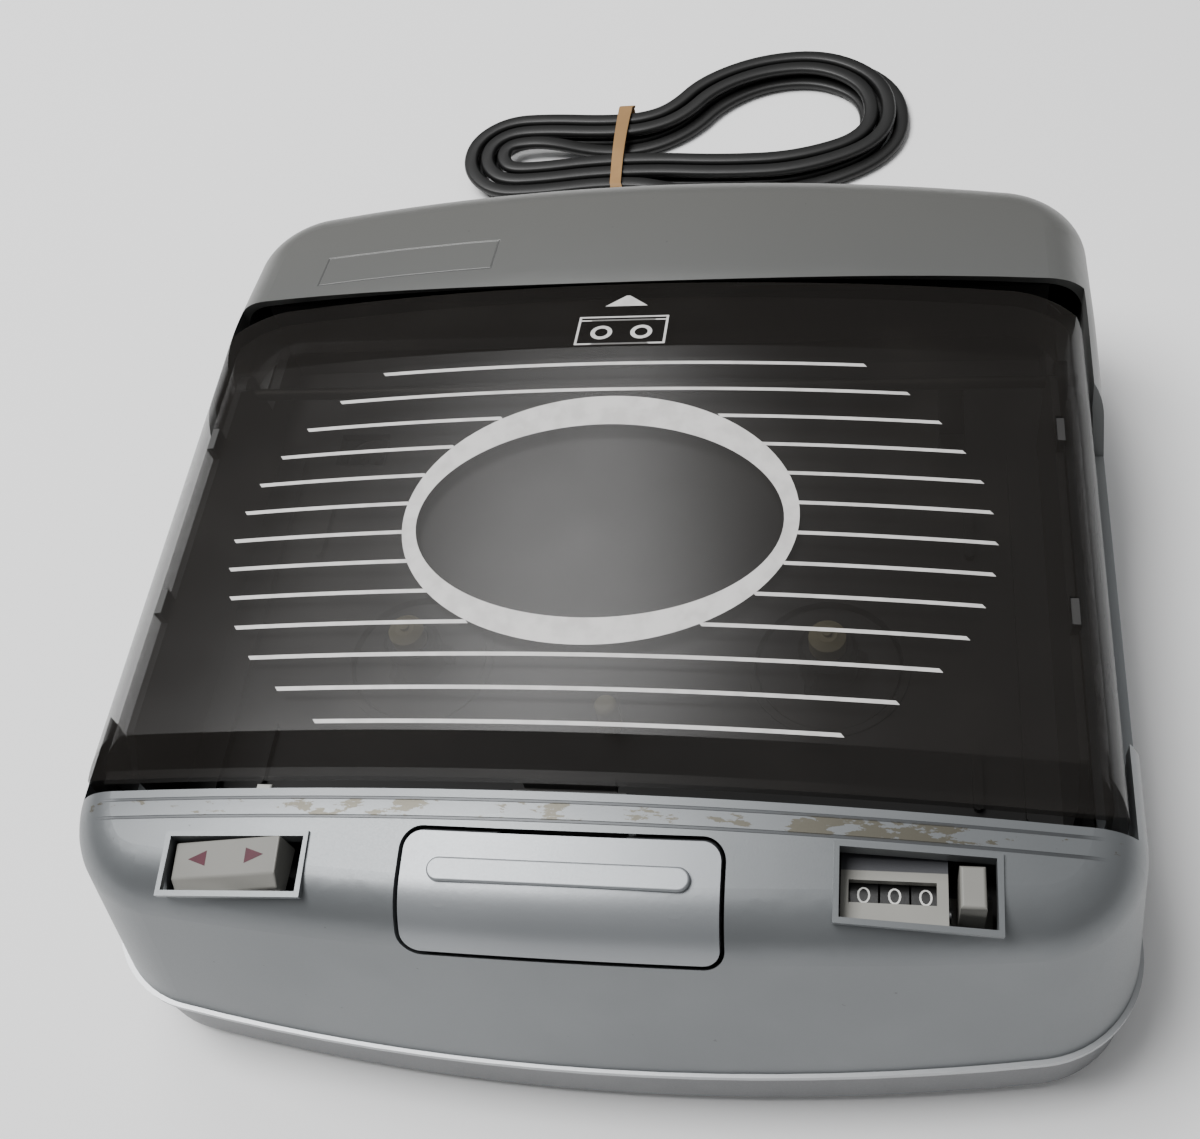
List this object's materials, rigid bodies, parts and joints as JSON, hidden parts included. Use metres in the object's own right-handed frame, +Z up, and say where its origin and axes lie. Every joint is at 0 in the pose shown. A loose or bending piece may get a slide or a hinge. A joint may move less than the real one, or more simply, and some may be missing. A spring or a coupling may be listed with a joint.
{
  "type": "video cassette rewinder",
  "caption": "Table-top rewinder for standard video cassettes: crowned case, hinged smoked lid, eject button, direction rocker, tape counter and a wound mains cord.",
  "frame": {"origin": "centre of the bounding box at the bottom of the feet, cord left out", "axes": "+X to the user's right, +Y to the rear where the cord leaves, +Z up"},
  "size_m": [0.22, 0.3436, 0.078],
  "materials": {
    "case_silver": "satin silver paint on moulded ABS",
    "base_silver": "moulded grey ABS",
    "smoked_lid": "smoked polystyrene, satin",
    "black_abs": "moulded black ABS",
    "hinge_steel": "yellow passivated rod",
    "ivory_acetal": "moulded ivory acetal",
    "stop_rubber": "soft grey stop",
    "zinc_plate": "zinc plated sheet",
    "bright_steel": "bright steel",
    "spring_steel": "spring steel",
    "white_acetal": "moulded white acetal",
    "brass": "turned brass",
    "black_rubber": "moulded rubber",
    "motor_can": "plated motor can",
    "transformer_iron": "varnished laminations",
    "board_laminate": "phenolic board",
    "black_component": "moulded component case",
    "grey_abs": "moulded grey ABS",
    "button_silver": "satin silver paint on moulded ABS",
    "beige_grey_abs": "moulded warm grey ABS",
    "counter_grey": "moulded warm grey ABS",
    "counter_black": "moulded black wheel",
    "cord_pvc": "black PVC sheath",
    "band_rubber": "tan rubber band"
  },
  "bodies": {
    "housing": {"base_case": "base_silver", "top_case": "case_silver", "deck_tray": "black_abs", "hinge_rod": "hinge_steel", "brake_release_pin": "ivory_acetal", "lid_stop": "stop_rubber", "chassis_plate": "zinc_plate", "reel_shafts": "bright_steel", "drive_belt": "black_rubber", "motor": "motor_can", "transformer": "transformer_iron", "circuit_board": "board_laminate", "smoothing_capacitor": "black_component", "motor_relay": "black_component", "front_bracket": "grey_abs", "latch_pin": "bright_steel", "rocker_pin": "bright_steel", "direction_switch": "black_component", "counter_frame": "counter_grey", "reset_spring": "spring_steel", "feet": "black_rubber", "case_screws": "bright_steel", "chassis_screws": "bright_steel", "strain_relief": "cord_pvc", "power_cord": "cord_pvc", "cord_hank": "cord_pvc", "cord_band": "band_rubber", "power_cord_tail": "cord_pvc", "power_plug": "cord_pvc"},
    "lid": {"lid": "smoked_lid", "cassette_rail_left": "black_abs", "cassette_rail_right": "black_abs", "lid_catch": "black_abs"},
    "eject_button": {"eject_button": "button_silver", "eject_springs": "spring_steel"},
    "latch": {"latch": "grey_abs"},
    "rocker": {"direction_rocker": "beige_grey_abs"},
    "counter_reset": {"counter_reset_button": "beige_grey_abs"},
    "counter_units": {"counter_wheel_units": "counter_black", "counter_shaft": "bright_steel", "counter_pulley": "white_acetal"},
    "counter_tens": {"counter_wheel_tens": "counter_black"},
    "counter_hundreds": {"counter_wheel_hundreds": "counter_black"},
    "left_spool": {"left_reel_table": "black_abs", "left_spindle_cap": "ivory_acetal"},
    "right_spool": {"right_reel_table": "black_abs", "right_spindle_cap": "ivory_acetal"},
    "drive": {"drive_shaft": "bright_steel", "drive_roller": "white_acetal", "drive_pulley": "white_acetal"},
    "motor_rotor": {"motor_shaft": "bright_steel", "motor_pulley": "brass"},
    "idler_arm": {"idler_arm": "white_acetal", "idler_axle": "bright_steel"},
    "idler": {"idler_wheel": "white_acetal", "idler_tyre": "black_rubber"}
  },
  "joints": [
    {"name": "lid_hinge", "type": "hinge", "parent": "housing", "child": "lid", "pos_m": [0, 0.041, 0.057], "axis": [-1, 0, 0], "range_deg": [0, 30]},
    {"name": "eject_press", "type": "slide", "parent": "housing", "child": "eject_button", "axis": [0, 0.4994, -0.8664], "range_m": [0, 0.002], "stiffness_N_per_m": 400, "springref_m": -0.002},
    {"name": "latch_swing", "type": "hinge", "parent": "housing", "child": "latch", "pos_m": [0, -0.0762, 0.057], "axis": [1, 0, 0], "range_deg": [0, 9.6]},
    {"name": "rocker_tilt", "type": "hinge", "parent": "housing", "child": "rocker", "pos_m": [-0.0637, -0.0867, 0.05761], "axis": [0, 1, 0], "range_deg": [0, 18]},
    {"name": "counter_reset", "type": "slide", "parent": "housing", "child": "counter_reset", "axis": [0, 0, -1], "range_m": [0, 0.002], "stiffness_N_per_m": 300, "springref_m": -0.0015, "deforming": ["reset_spring"]},
    {"name": "right_spool_spin", "type": "hinge", "parent": "housing", "child": "right_spool", "pos_m": [0.047, -0.022, 0.03], "axis": [0, 0, 1], "continuous": true},
    {"name": "left_spool_spin", "type": "hinge", "parent": "housing", "child": "left_spool", "pos_m": [-0.047, -0.022, 0.03], "axis": [0, 0, 1], "continuous": true},
    {"name": "drive_spin", "type": "hinge", "parent": "housing", "child": "drive", "pos_m": [0, 0.008, 0.025], "axis": [0, 0, 1], "continuous": true},
    {"name": "motor_spin", "type": "hinge", "parent": "housing", "child": "motor_rotor", "pos_m": [0.035, 0.086, 0.025], "axis": [0, 0, 1], "continuous": true},
    {"name": "idler_swing", "type": "hinge", "parent": "housing", "child": "idler_arm", "pos_m": [0, 0.008, 0.03], "axis": [0, 0, 1], "range_deg": [0, 7.26]},
    {"name": "idler_spin", "type": "hinge", "parent": "idler_arm", "child": "idler", "pos_m": [-0.0019, -0.02194, 0.026], "axis": [0, 0, 1], "continuous": true},
    {"name": "counter_units_spin", "type": "hinge", "parent": "housing", "child": "counter_units", "pos_m": [0.0663, -0.0858, 0.056], "axis": [1, 0, 0], "continuous": true},
    {"name": "counter_tens_spin", "type": "hinge", "parent": "housing", "child": "counter_tens", "pos_m": [0.0608, -0.0858, 0.056], "axis": [1, 0, 0], "continuous": true},
    {"name": "counter_hundreds_spin", "type": "hinge", "parent": "housing", "child": "counter_hundreds", "pos_m": [0.0553, -0.0858, 0.056], "axis": [1, 0, 0], "continuous": true}
  ],
  "couplings": [
    {"joint": "latch_swing", "follows": "eject_press", "rad_per_m": 82.9},
    {"joint": "motor_spin", "follows": "drive_spin", "ratio": 4.9474},
    {"joint": "idler_spin", "follows": "drive_spin", "ratio": -1},
    {"joint": "counter_units_spin", "follows": "right_spool_spin", "ratio": 0.35},
    {"joint": "counter_tens_spin", "follows": "right_spool_spin", "ratio": 0.035},
    {"joint": "counter_hundreds_spin", "follows": "right_spool_spin", "ratio": 0.0035}
  ]
}
